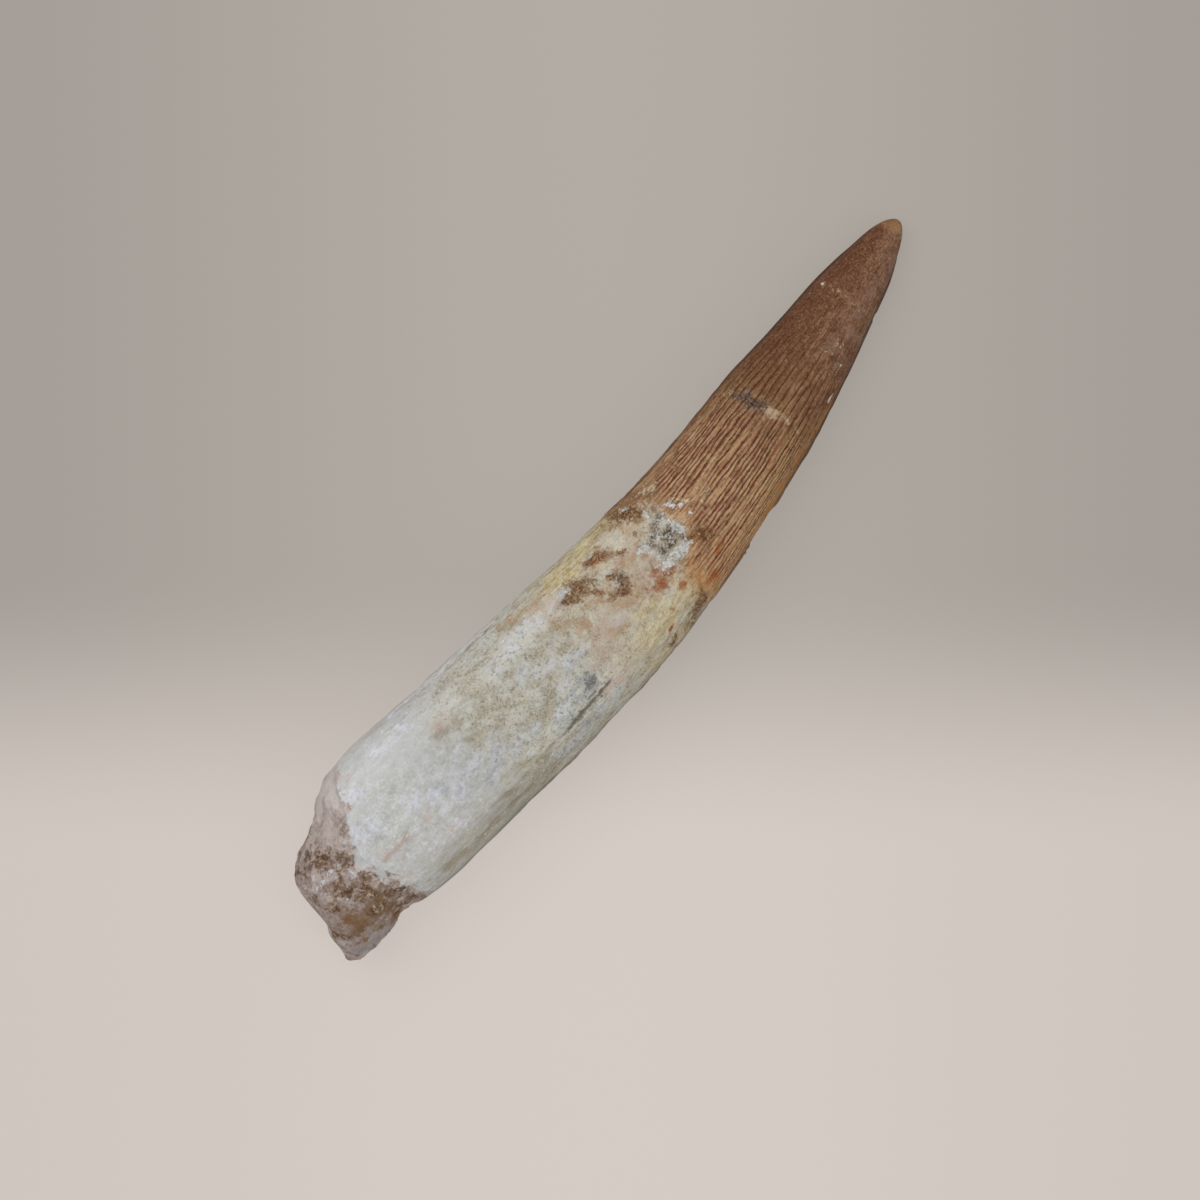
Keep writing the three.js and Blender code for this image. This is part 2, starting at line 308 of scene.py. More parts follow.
            (31.6, -1.8, 34.8, -0.8, 0.9), (36.4, -2.6, 38.8, -3.2, 0.8), (25.0, 2.6, 25.6, 1.8, 0.6),
            (53.8, 4.2, 54.6, 3.6, 0.6), (48.4, -1.4, 50.4, -2.2, 0.8),
        ],
        [(42, -5, 46, -6, 1.6), (33, 5, 36, 5, 1.2)],
    ),
    # Slate blue stains.
    "slate": Marks(
        tooth_edges,
        [(47.4, -5.7, 48.6, -5.3, 0.8), (46.6, -6.4, 47.6, -6.5, 0.4), (53.8, 3.9, 54.4, 3.7, 0.4)],
        [(42, -5, 44, -5.6, 1.0), (33, 6, 34, 6, 0.6)],
    ),
    # Thin furrows and edges, sunk and painted dark with painted shade.
    "furrow": Marks(
        tooth_edges,
        [
            (40.6, -6.6, 43.0, -6.8, 0.36), (43.0, -6.8, 46.5, -7.2, 0.5), (46.5, -7.2, 49.6, -7.4, 0.34),
            (41.6, 10.3, 46.0, 9.4, 0.2), (19.6, -6.4, 21.4, -6.7, 0.3), (27.8, -7.8, 30.0, -8.1, 0.35),
            (33.8, -8.6, 37.4, -9.2, 0.4), (73.2, -11.4, 73.9, -11.5, 0.4), (70.0, 5.45, 73.0, 4.9, 0.25),
            (95.6, -8.9, 97.4, -8.8, 0.14),
        ],
        [(34, 3, 38, 2, 0.3), (38, 2, 42, 2.6, 0.35), (46, -2, 49, -2.6, 0.3)],
    ),
    # Pink flushes.
    "pink": Marks(
        tooth_edges,
        [
            (13.6, 2.45, 18.0, 2.0, 0.5), (18.2, 13.6, 19.4, 13.2, 0.7), (24.8, 13.9, 27.2, 13.4, 0.6),
            (13.2, -0.6, 14.0, -1.2, 0.5), (31.8, -3.8, 32.6, -4.3, 0.5), (31.6, 7.4, 33.0, 6.4, 0.9),
            (21.0, 1.3, 22.0, 1.1, 0.6), (51.8, -4.4, 57.5, -2.0, 2.2), (60.0, -2.0, 66.0, -2.6, 1.7),
            (62.4, 0.8, 65.6, 0.6, 1.2), (52.0, 5.6, 54.0, 3.4, 1.3), (22.0, -2.0, 22.6, -2.2, 0.4),
            (16.4, 14.4, 18.8, 14.0, 0.9), (48.0, -7.9, 53.0, -8.2, 0.8), (18.0, 13.9, 18.6, 13.5, 0.6),
        ],
        [(54, -2, 58, -1, 1.8), (20, 6, 23, 7, 0.9), (60, 3, 62, 3, 1.2)],
    ),
    # A thin pink scratch.
    "scratch": Marks(tooth_edges, [(13.6, 2.5, 18.0, 2.0, 0.3)], ragged=0.3),
    # Grey bruise, cream filling and chips on the crown.
    "bruise": Marks(tooth_edges, [(89.2, 1.6, 89.6, 0.4, 0.5), (89.7, 0.2, 90.0, -2.2, 0.8)], ragged=0.4),
    "filling": Marks(
        tooth_edges,
        [
            (90.0, -3.3, 90.4, -4.1, 0.6), (90.3, -4.6, 90.6, -6.2, 0.24), (88.8, 2.5, 89.2, 2.2, 0.25),
            (77.0, -11.0, 80.6, -10.9, 0.35), (90.7, -6.9, 89.8, -8.0, 0.12),
            (107.8, 1.0, 108.2, -1.4, 0.13), (108.2, -1.4, 108.0, -4.6, 0.12),
        ],
        ragged=0.25,
    ),
    "chips": Marks(
        tooth_edges,
        [
            (96.0, -8.55, 97.0, -8.5, 0.34), (107.7, 0.95, 108.1, 0.8, 0.22), (99.8, 1.05, 99.9, 1.0, 0.12),
            (89.5, 2.9, 89.8, 2.85, 0.12), (96.5, 1.5, 96.6, 1.4, 0.1), (108.3, -6.95, 108.7, -6.9, 0.14),
            (99.9, -6.6, 100.1, -6.9, 0.14), (102.2, -4.9, 102.3, -5.0, 0.1),
            (102.5, -5.6, 102.6, -5.7, 0.1), (100.9, -5.2, 101.1, -5.4, 0.1),
            (101.4, -3.6, 101.5, -3.7, 0.09), (105.8, 1.5, 106.0, 1.4, 0.14),
            (100.4, -5.9, 100.5, -6.0, 0.09), (101.9, -4.2, 102.0, -4.3, 0.08),
            (99.2, -6.0, 99.3, -6.1, 0.08), (103.1, -5.1, 103.2, -5.2, 0.08),
            (116.8, -4.9, 117.0, -4.9, 0.12), (94.5, -4.3, 94.7, -4.4, 0.1),
        ],
        [(98, 0, 98.6, 0.1, 0.25), (84, -3, 84.2, -3.3, 0.2), (104, -4, 104.3, -4, 0.15)],
        ragged=0.2,
    ),
    # Yellowish white flecks.
    "flecks": Marks(
        tooth_edges,
        [
            (18.6, 4.3, 19.9, 3.5, 0.2), (16.6, 3.6, 17.6, 2.9, 0.14), (15.6, 4.7, 16.2, 4.2, 0.12),
            (20.6, 5.6, 20.7, 4.8, 0.18), (18.1, 2.1, 18.6, 1.8, 0.14), (24.4, 8.2, 24.8, 7.9, 0.12),
            (27.2, -2.2, 27.4, -3.0, 0.15), (23.0, 10.9, 23.2, 10.6, 0.12), (22.8, 7.4, 23.4, 6.9, 0.1),
            (28.8, 6.2, 29.3, 5.8, 0.12), (16.9, 6.6, 17.5, 6.0, 0.12), (25.9, -0.4, 26.3, -1.0, 0.14),
            (54.2, -1.4, 54.8, -0.4, 0.14), (54.8, -0.4, 55.4, 0.2, 0.12), (40.0, 1.2, 41.4, 0.4, 0.25),
            (50.4, -3.6, 49.9, -5.0, 0.2), (49.9, -5.0, 49.2, -6.2, 0.24), (49.2, -6.2, 48.6, -7.0, 0.18),
            (17.2, 4.4, 18.2, 3.8, 0.1), (21.2, 8.6, 21.5, 8.2, 0.1), (19.6, 9.4, 20.2, 8.9, 0.1),
        ],
        ragged=0.4,
    ),
    # Amber band down the right keel.
    "amber": Marks(
        tooth_edges,
        [
            (76.6, -11.0, 79.0, -10.6, 0.8), (79.0, -10.6, 84.0, -10.2, 0.8),
            (84.0, -10.2, 88.0, -9.7, 0.6), (66.0, -10.7, 67.4, -10.9, 0.7), (88.0, -9.7, 96.0, -8.9, 0.4),
            (70.9, -5.2, 71.7, -5.4, 0.6), (66.4, -9.4, 68.2, -7.8, 0.35),
        ],
    ),
}
# The enamel and its flutes: thickness and depth in millimetres, all else in flutes. A finer groove
# lies between two flutes, with a share of their depth.
ENAMEL_THICKNESS = 0.2
FLUTES = 42
FLUTE_DEPTH = 0.2
GROOVE_WIDTH = 0.2
FINE_WIDTH, FINE_SHARE = 0.18, 0.7
WANDER, RIPPLE = 0.34, 0.12
# The keels: heights in millimetres, width as an angle, places along.
KEEL_HEIGHT, KEEL_WIDTH = 0.25, 0.07
SPUR_PLACE, SPUR_HEIGHT = 73.6, 0.2
NOTCH_START, NOTCH_END, NOTCH_DEPTH = 74.2, 81.5, 0.45
# The root's swellings, ripples and crackle, and how deep or high its marks are, in millimetres.
SWELL, DIMPLE, CRACKLE = 0.2, 0.08, 0.12
BARE_DEPTH, FURROW_DEPTH, BRUISE_DEPTH, CHIP_DEPTH = 0.15, 0.3, 0.2, 0.18
FILLING_HEIGHT, CRUST_HEIGHT, CRUMB_HEIGHT = 0.04, 0.05, 0.18
SECTORS = 8 * FLUTES
# Places along where the spacing of the rings changes, from the tip, and the rings up to each.
RING_STOPS = [(0, LENGTH), (14, 118.4), (100, 77.0), (210, 53.0), (284, 12.7)]
CAP_RINGS = 8
CAP_SQUARENESS = 0.35
RINGS = RING_STOPS[-1][0] + CAP_RINGS
# The ragged line where the sediment ends on the root: across, and along.
CONTACT = [
    (-9, 13.9), (-5, 13.7), (-2, 13.0), (2, 12.1), (5, 11.4), (7, 12.2),
    (9, 14.2), (10, 16.2), (12, 17.2), (14, 18.6), (16, 21),
]


def ring_place(ring):
    """Along, and share of the full section, of a ring. The rings are counted from the tip."""
    for (first, start), (last, finish) in zip(RING_STOPS, RING_STOPS[1:]):
        if ring <= last:
            share = (ring - first) / (last - first)
            if first == 0:
                share *= share
            return start + (finish - start) * share, 1.0
    turn = math.pi / 2 * (ring - RING_STOPS[-1][0]) / CAP_RINGS
    end = RING_STOPS[-1][1]
    scale = max(0.0, math.cos(turn)) ** CAP_SQUARENESS if ring < RINGS else 0.0
    return end - (end - ROOT_END) * math.sin(turn), scale


def past_contact(point):
    """How far a point is past the line where the sediment ends, in millimetres."""
    for (low, start), (high, finish) in zip(CONTACT, CONTACT[1:]):
        if point.y <= high:
            return point.x - start - (finish - start) * (point.y - low) / (high - low)
    return point.x - CONTACT[-1][1]


def flute_phase(point, angle):
    """Flutes counted round the tooth, with their lines waved a little. Whole numbers are grooves."""
    spread = WANDER * noise.noise(Vector((point.x / 13, point.y / 2.3, point.z / 2.3)))
    ripple = RIPPLE * noise.noise(Vector((point.x / 2.0, point.y / 1.1, point.z / 1.1 + 9)))
    return FLUTES * angle / (2 * math.pi) + spread + ripple


def crumbly(point, size):
    """The height of rough crumbs, from 0 to about 1."""
    return max(0.0, 0.5 + 0.8 * noise.fractal(point / size, 0.5, 2.0, 3))


def enamel_border(along, across, facing_up, point):
    """Where the enamel begins. It is worn back in the middle of each side."""
    middle, worn = (-0.6, 4.6) if facing_up else (-3.0, 3.0)
    border = CROWN_START + worn * (1 - ease(abs(across - middle), 2.2, 6.5))
    return border + 0.7 * lumps(point, 3) + 0.35 * lumps(point, 1.1)


def flute_cut(point, phase, past_border):
    """How strongly the flutes and the finer ones between them show here, and the depth cut by both."""
    flute = math.floor(phase + 0.5)
    strength = ease(noise.noise(Vector((point.x / 8, flute * 7.31, 3))), -0.7, -0.05)
    strength *= ease(past_border, 0.6, 3.5) * (1 - 0.85 * ease(point.x, 86, 108))
    away = abs(phase - flute)
    cut = strength * (max(0.0, 1 - away / GROOVE_WIDTH) + 0.1 * math.cos(2 * math.pi * phase))
    between = ease(noise.noise(Vector((point.x / 9, math.floor(phase) * 5.17, 8))), -0.5, 0.0)
    between *= ease(past_border, 0.6, 3.0) * (1 - ease(point.x, 84, 93))
    return strength, between, cut + FINE_SHARE * between * max(0.0, 1 - (0.5 - away) / FINE_WIDTH)


def keel_height(along, angle):
    """The keel on each edge, with the notch and the spur of the right one."""
    left_turn, right_turn = abs(angle), math.pi - abs(angle)
    keel = KEEL_HEIGHT * max(0.0, 1 - min(left_turn, right_turn) / KEEL_WIDTH)
    notch = ease(along, NOTCH_START, NOTCH_START + 1.3) * (1 - ease(along, NOTCH_END - 2.5, NOTCH_END))
    spur = max(0.0, 1 - abs(along - SPUR_PLACE) / 0.7)
    keel += (SPUR_HEIGHT * spur - NOTCH_DEPTH * notch) * max(0.0, 1 - right_turn / (2 * KEEL_WIDTH))
    return keel * ease(LENGTH - along, 2, 9) * ease(along, 67, 75)


def sphere_rings(bm, count):
    """The vertices of a sphere of this many rings, ring by ring from its top."""
    rings = [[] for ring in range(count + 1)]
    for vert in bm.verts:
        rings[round(math.acos(max(-1.0, min(1.0, vert.co.z))) / math.pi * count)].append(vert)
    return rings


def outward(angle, ring, count):
    """The way out of the form at a vertex. At the two poles there is none, so that they stay closed."""
    return Vector((0, math.cos(angle), math.sin(angle))) if 0 < ring < count else Vector((0, 0, 0))


def made_object(bm, name):
    """Turns a finished mesh into an object at the origin."""
    mesh = bpy.data.meshes.new(name)
    bm.to_mesh(mesh)
    bm.free()
    piece = bpy.data.objects.new(name, mesh)
    bpy.context.collection.objects.link(piece)
    return piece


bm = bmesh.new()
bmesh.ops.create_uvsphere(bm, u_segments=SECTORS, v_segments=RINGS, radius=1)
uv = bm.loops.layers.uv.new("flutes")
FIELDS = (*MARKS, "border", "contact", "groove", "between", "side", "phase")
layers = {name: bm.verts.layers.float.new(name) for name in FIELDS}
for ring, verts in enumerate(sphere_rings(bm, RINGS)):
    along, scale = ring_place(ring)
    edges = tooth_edges(along)
    close = {name: marks.close_to(along) for name, marks in MARKS.items()}
    slender = min(1.0, (edges[0] - edges[1]) / 4) * scale
    for vert in verts:
        angle = math.atan2(vert.co.y, vert.co.x)
        point = oval_point(edges, along, angle, scale)
        mark = {name: marks.strength(close[name], point) for name, marks in MARKS.items()}
        past_border = along - enamel_border(along, point.y, angle > 0, point)
        enamel = ease(past_border, -0.5, 0.5)
        phase = flute_phase(point, angle)
        strength, between, cut = flute_cut(point, phase, past_border)

        relief = ENAMEL_THICKNESS * (0.7 * ease(past_border, -4.5, 1.5) + 0.3 * enamel)
        relief += enamel * (keel_height(along, angle) - FLUTE_DEPTH * cut)
        crackle = noise.fractal(point / 1.9, 0.7, 2.0, 3) * ease(along, 24, 36)
        relief += (1 - enamel) * (SWELL * lumps(point, 6) + DIMPLE * lumps(point, 2.3) + CRACKLE * crackle)
        relief -= BARE_DEPTH * ease(mark["bare"], -0.3, 0.6)
        relief -= FURROW_DEPTH * ease(mark["furrow"], 0.0, 0.8)
        relief -= BRUISE_DEPTH * ease(mark["bruise"], 0.0, 0.6)
        relief -= CHIP_DEPTH * ease(mark["chips"], 0.0, 0.5)
        relief += FILLING_HEIGHT * ease(mark["filling"], 0.0, 0.5)
        crusty = max(mark["crumbs"], mark["crust"], mark["chalk"])
        if crusty > -0.2:
            relief += ease(crusty, -0.2, 0.8) * (CRUST_HEIGHT + CRUMB_HEIGHT * crumbly(point, 0.5))
        point += outward(angle, ring, RINGS) * slender * relief
        point.z = max(point.z, 0.0)
        lines = {"groove": strength, "between": between, "side": math.cos(angle), "phase": phase}
        edges_here = {"border": capped(past_border), "contact": capped(past_contact(point))}
        for name, value in {**mark, **lines, **edges_here}.items():
            vert[layers[name]] = value
        vert.co = (point - ORIGIN) * MM

for face in bm.faces:
    face.smooth = True
    phases = [loop.vert[layers["phase"]] for loop in face.loops]
    wraps = max(phases) - min(phases) > FLUTES / 2
    for loop, phase in zip(face.loops, phases):
        turned = phase + FLUTES if wraps and phase < 0 else phase
        loop[uv].uv = (turned, loop.vert.co.x / MM + ORIGIN.x)
tooth = made_object(bm, "fossil_tooth")
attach(tooth, "root")
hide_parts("tooth")


class Term:
    """A socket in a material, for use in sums."""

    def __init__(self, tree, socket):
        self.tree = tree
        self.socket = socket

    def node(self, kind, settings=None, values=None, output=0):
        """Adds a node: first its settings, then the values or links of its sockets."""
        new = self.tree.nodes.new(kind)
        for name, setting in (settings or {}).items():
            if name == "stops":
                ramp = new.color_ramp.elements
                while len(ramp) < len(setting):
                    ramp.new(0.5)
                for element, (position, colour) in zip(ramp, setting):
                    element.position = position
                    element.color = colour
            else:
                setattr(new, name, setting)
        for name, value in (values or {}).items():
            if isinstance(value, Term):
                self.tree.links.new(value.socket, new.inputs[name])
            else:
                new.inputs[name].default_value = value
        return Term(self.tree, new.outputs[output])

    def maths(self, operation, *values):
        return self.node("ShaderNodeMath", {"operation": operation}, dict(enumerate(values)))

    def __add__(self, other):
        return self.maths("ADD", self, other)

    __radd__ = __add__

    def __mul__(self, other):
        return self.maths("MULTIPLY", self, other)

    __rmul__ = __mul__

    def __sub__(self, other):
        return self.maths("SUBTRACT", self, other)

    def __rsub__(self, other):
        return self.maths("SUBTRACT", other, self)

    def ease(self, low, high, start=0.0, finish=1.0):
        values = {0: self, 1: low, 2: high, 3: start, 4: finish}
        return self.node("ShaderNodeMapRange", {"interpolation_type": "SMOOTHSTEP"}, values)

    def ramp(self, stops, unit=1.0):
        """A colour that changes with this value: each stop is a place and how the colour shows."""
        stops = [(place / unit, paint(*shown)) for place, *shown in stops]
        return self.node("ShaderNodeValToRGB", {"stops": stops}, {0: self * (1 / unit)})

    def painted(self, shown, mask):
        """This colour with another one over it where the mask is 1."""
        over = shown if isinstance(shown, Term) else paint(*shown)
        return self.node("ShaderNodeMix", {"data_type": "RGBA"}, {0: mask, 6: self, 7: over}, 2)


def paint(red, green, blue):
    """A colour given as it shows, from 0 to 255."""
    linear = [((c / 255 + 0.055) / 1.055) ** 2.4 if c > 10 else c / 3294.6 for c in (red, green, blue)]
    return (*linear, 1.0)


class Finish:
    """A fresh material on a piece: its coordinates, its patterns and its shader."""

    # Each whole seed moves a noise this far, in metres.
    SEED_STEP = (0.0173, -0.0271, 0.0119)

    def __init__(self, piece, name):
        material = bpy.data.materials.new(name)
        material.use_nodes = True
        piece.data.materials.append(material)
        self.shader = material.node_tree.nodes["Principled BSDF"]
        self.start = Term(material.node_tree, None)
        self.place = self.start.node("ShaderNodeTexCoord", output="Object")

    def noise(self, size, detail=3.0, roughness=0.55, seed=0.0, where=None):
        """Cloudy noise of a given size in millimetres, from 0 to 1."""
        unit = 1 if where else MM
        shift = {0: where or self.place, 1: tuple(seed * step for step in self.SEED_STEP)}
        moved = self.start.node("ShaderNodeVectorMath", {"operation": "ADD"}, shift)
        values = {"Vector": moved, "Scale": 1 / (size * unit), "Detail": detail, "Roughness": roughness}
        return self.start.node("ShaderNodeTexNoise", {}, values)

    def field(self, name):
        return self.start.node("ShaderNodeAttribute", {"attribute_name": name}, {}, "Fac")

    def patch(self, name, grains, ragged, low, high):
        """A mask of marks, with edges that crumble into the grains of a noise."""
        near = self.field(name)
        return (near + (grains - 0.5) * near.ease(-0.95, -0.5, 0.0, ragged)).ease(low, high)

    def use(self, socket, term):
        term.tree.links.new(term.socket, self.shader.inputs[socket])

    def bump(self, height, depth):
        """Fine relief: the height is from 0 to 1, the depth in millimetres."""
        values = {"Height": height, "Distance": depth * MM, "Strength": 1.0}
        self.use("Normal", self.start.node("ShaderNodeBump", {}, values))


# How far a shine shows on fossil and sediment: less than on glaze or glass.
DULL_SHINE = 0.2


def sediment_colour(finish):
    """Hard brown sediment with dark and pale grains."""
    cloud = finish.noise(1.6, 6, 0.72, seed=40)
    grain = finish.noise(0.45, 4, 0.7, seed=41)
    colour = cloud.ramp([
        (0.36, 124, 105, 90), (0.44, 153, 135, 125), (0.51, 171, 156, 149),
        (0.58, 185, 172, 165), (0.66, 202, 193, 189),
    ])
    colour = colour.painted((80, 56, 38), grain.ease(0.54, 0.66) * 0.6)
    colour = colour.painted((204, 197, 191), grain.ease(0.45, 0.32) * 0.45)
    left = finish.place.node("ShaderNodeSeparateXYZ", values={0: finish.place}, output=1)
    flush = left.ease(0.0076, 0.0105) * finish.field("contact").ease(-6.5, -3.5)
    return colour.painted((190, 175, 169), flush * 0.68)


def pale_dentine_colour(tone):
    """The smooth, pale dentine of the root's broken end, from an uneven tone."""
    return tone.ramp([
        (0.34, 168, 166, 158), (0.44, 185, 184, 180), (0.54, 194, 194, 192), (0.64, 210, 211, 214),
    ])


def past_contact_mask(finish):
    """1 past the ragged line where the sediment ends on the root, else 0."""
    crumble = (finish.noise(1.3, 6, 0.7, seed=42) - 0.5) * 7
    return (finish.field("contact") + crumble).ease(-0.5, 0.4)


finish = Finish(tooth, "fossil enamel and dentine")
flutes = finish.start.node("ShaderNodeUVMap", {"uv_map": "flutes"})
phase = flutes.node("ShaderNodeSeparateXYZ", values={0: flutes})
along = Term(phase.tree, phase.socket.node.outputs[1])
side = finish.field("side")
steep = side.maths("ABSOLUTE", side)
border = finish.field("border")
zone = along + (finish.noise(4, 4) - 0.5) * 8
broad = finish.noise(1.4, 7, 0.74, seed=28)
small = finish.noise(0.7, 6, 0.72, seed=9)
fine = finish.noise(0.4, 4, 0.72, seed=2)
grit = finish.noise(0.28, 5, 0.78, seed=31)
clumps = small * 0.5 + grit * 0.5
# In millimetres, but shrunk to a third along the tooth, so that its grain is drawn out lengthwise.
values = {0: finish.place, 1: (0.32 / MM, 1 / MM, 1 / MM)}
lengthwise = finish.start.node("ShaderNodeVectorMath", {"operation": "MULTIPLY"}, values)
grain = finish.noise(0.8, 6, 0.72, seed=33, where=lengthwise)

# Enamel: tan ridges, thin dark grooves with reddish borders, redder on the left near the tip, and darker
# there with painted shade.
ridge = zone.ramp([
    (66, 172, 132, 90), (70, 166, 129, 94), (78, 167, 133, 96), (84, 156, 122, 86), (89, 136, 103, 67),
    (94, 119, 84, 52), (101, 112, 74, 46), (112, 110, 73, 48), (117.5, 120, 84, 58), (119.5, 158, 116, 82),
], LENGTH)
groove_paint = zone.ramp([(70, 112, 54, 36), (85, 88, 46, 28), (95, 72, 36, 18)], LENGTH)
flute = phase.maths("FLOOR", phase + 0.5)
near = phase.maths("ABSOLUTE", phase - flute)
tag = phase.node("ShaderNodeCombineXYZ", values={0: along * 0.14, 1: flute * 7.3})
darkness = finish.noise(1, 3, where=tag).ease(0.34, 0.53, 0.3, 1.0)
groove = finish.field("groove")
ragged = (small - 0.5) * 0.4
line = (near + ragged).ease(0.11, 0.03) * groove * darkness
halo = (near + ragged).ease(0.38, 0.14) * groove * broad.ease(0.44, 0.54)
between_line = (0.5 - near + ragged).ease(0.1, 0.02) * finish.field("between")
strand = phase.node("ShaderNodeCombineXYZ", values={0: along * 0.45, 1: phase * 4.0})
streak = finish.noise(1, 6, 0.68, where=strand)
enamel_paint = ridge.painted((152, 92, 72), halo * along.ease(94, 84, 0.15, 0.8))
enamel_paint = enamel_paint.painted((98, 56, 32), streak.ease(0.5, 0.61) * 0.75)
enamel_paint = enamel_paint.painted((188, 160, 126), streak.ease(0.5, 0.38) * along.ease(92, 76, 0.14, 0.55))
enamel_paint = enamel_paint.painted((84, 44, 20), grain.ease(0.48, 0.6) * along.ease(86, 98) * 0.6)
enamel_paint = enamel_paint.painted((168, 128, 98), grain.ease(0.5, 0.36) * along.ease(86, 98) * 0.4)
# Redder and darker on the left near the tip: partly the enamel's own colour, partly painted shade.
enamel_paint = enamel_paint.painted((90, 48, 20), side.ease(-0.3, 0.7) * along.ease(86, 98) * 0.6)
# Painted light: the right side of the crown's base is painted paler, where it slopes away from the light.
painted_light_right_side = side.ease(-0.3, -0.85) * along.ease(94, 80)
enamel_paint = enamel_paint.painted((200, 164, 112), painted_light_right_side * 0.25)
enamel_paint = enamel_paint.painted(groove_paint, line * 0.95)
enamel_paint = enamel_paint.painted(groove_paint, between_line * 0.95)
enamel_paint = enamel_paint.painted((66, 36, 20), fine.ease(0.52, 0.64) * along.ease(96, 80, 0.55, 0.45))
enamel_paint = enamel_paint.painted((190, 158, 124), fine.ease(0.46, 0.34) * along.ease(90, 70, 0.2, 0.5))
scar = phase.maths("ABSOLUTE", along + (broad - 0.5) * 3.0 - 108.1).ease(0.24, 0.06) * small.ease(0.45, 0.54)
enamel_paint = enamel_paint.painted((172, 142, 112), scar * steep.ease(0.9, 0.6) * 0.55)
# Painted sheen: a greyish reflection painted over the right half of the crown near the tip.
painted_sheen = broad.ease(0.42, 0.58) * along.ease(97, 103) * side.ease(0.1, -0.5)
enamel_paint = enamel_paint.painted((142, 112, 96), painted_sheen * 0.5)
enamel_paint = enamel_paint.painted((64, 36, 22), grit.ease(0.52, 0.62) * along.ease(92, 100) * 0.5)
enamel_paint = enamel_paint.painted((186, 150, 122), grit.ease(0.46, 0.36) * along.ease(92, 100) * 0.35)
worn_tip = (along + (small - 0.5) * 3.0 + side * 0.4).ease(118.4, 119.5)
enamel_paint = enamel_paint.painted((178, 136, 94), worn_tip * 0.3)
# Painted shade: a thin dark line down both edges of the crown, where they turn away.
enamel_paint = enamel_paint.painted((58, 38, 26), steep.ease(0.955, 0.995) * 0.55)

# Dentine: smooth and pale near the broken end, worn through to tan in the middle, warm at the crown.
tone = finish.noise(1.7, 7, 0.78, seed=5)
tone = tone + (grain - tone) * steep.ease(0.3, 0.85)
swelling = tone
tone = tone + (finish.field("film") - finish.field("bare")) * 0.02
tone = tone + (small - 0.5) * 0.26 + (fine - 0.5) * 0.6 + (grit - 0.5) * 0.42
vein = phase.maths("ABSOLUTE", broad - 0.5).ease(0.025, 0.005)
worn_paint = tone.ramp([
    (0.35, 146, 138, 117), (0.42, 171, 165, 149), (0.5, 196, 192, 181),
    (0.57, 206, 205, 197), (0.65, 217, 218, 215),
])
warm_paint = tone.ramp([
    (0.35, 150, 120, 90), (0.42, 173, 155, 129), (0.5, 193, 180, 156),
    (0.57, 203, 191, 168), (0.65, 214, 208, 192),
])
root = pale_dentine_colour(tone).painted(worn_paint, zone.ease(28, 38))
root = root.painted(warm_paint, zone.ease(48, 56))
# Painted light: the root is painted paler towards its left side, as if lit more from there.
root = root.painted((210, 211, 212), side.ease(0.1, 0.9) * zone.ease(54, 34) * 0.5)
root = root.painted((152, 135, 106), finish.patch("bare", clumps, 9.0, -0.3, 0.9) * 0.6)
root = root.painted((147, 158, 166), finish.patch("mist", broad, 5.0, -0.4, 0.9) * 0.78)
film_and_highlight_paint = small.ramp([
    (0.38, 172, 173, 173), (0.46, 195, 196, 201), (0.54, 208, 209, 218), (0.62, 219, 220, 229),
])
# Painted highlight: the film is painted brighter towards the left edge.
film_and_highlight_paint = film_and_highlight_paint.painted((240, 240, 248), side.ease(0.5, 0.92) * 0.75)
film_and_highlight_paint = film_and_highlight_paint.painted((206, 201, 184), zone.ease(52, 58) * 0.8)
root = root.painted(film_and_highlight_paint, finish.patch("film", broad, 7.0, -0.3, 0.8) * 0.82)
# The middle is curdled: tan hollows, with thin cream rims and veins between them.
curdled = zone.ease(28, 36) * zone.ease(59, 50, 0.35, 1.0)
root = root.painted((150, 131, 101), small.ease(0.45, 0.37) * curdled * 0.55)
root = root.painted((220, 216, 196), phase.maths("ABSOLUTE", small - 0.5).ease(0.03, 0.006) * curdled * 0.58)
root = root.painted((212, 209, 193), vein * zone.ease(28, 38, 0.1, 0.78))
# Olive stain and painted shade: the right side of the root is painted darker and olive.
stain_and_shade_side = side.ease(-0.35, -0.9) * along.ease(13, 20)
root = root.painted((156, 146, 118), stain_and_shade_side * zone.ease(42, 32, 0.1, 0.45))
root = root.painted((194, 164, 148), finish.patch("pink", broad, 6.0, -0.4, 1.1) * 0.45)
root = root.painted((184, 144, 100), finish.patch("blush", broad, 7.0, -0.2, 1.2) * 0.48)
root = root.painted((174, 152, 144), finish.patch("scratch", small, 2.5, -0.3, 0.6) * 0.6)
butter_paint = tone.ramp([
    (0.4, 184, 162, 112), (0.47, 206, 187, 137), (0.54, 218, 202, 153), (0.62, 230, 220, 182),
])
butter = finish.patch("butter", broad, 2.5, -0.6, 0.6)
root = root.painted(butter_paint, butter * side.ease(-0.3, 0.3, 0.46, 0.72))
root = root.painted((92, 92, 96), finish.patch("slate", small, 7.0, -0.4, 1.1) * 0.75)
# Dark and white specks, more of them down the sides and fewer towards the crown.
rough = steep.ease(0.3, 0.85, 1.0, 1.5) * zone.ease(56, 46, 0.5, 1.0)
root = root.painted((112, 95, 70), fine.ease(0.55, 0.69) * zone.ease(26, 40, 0.15, 0.58) * rough)
root = root.painted((226, 225, 217), fine.ease(0.44, 0.32) * zone.ease(26, 40, 0.45, 0.66) * rough)
ragged_border = border + (small - 0.5) * 6
root = root.painted((182, 136, 88), ragged_border.ease(-2.8, 0.2) * side.ease(-0.25, -0.7) * 0.7)
# Painted shade: a thin dark line down the right edge of the root.
root = root.painted((90, 78, 60), side.ease(-0.955, -0.995) * 0.4)
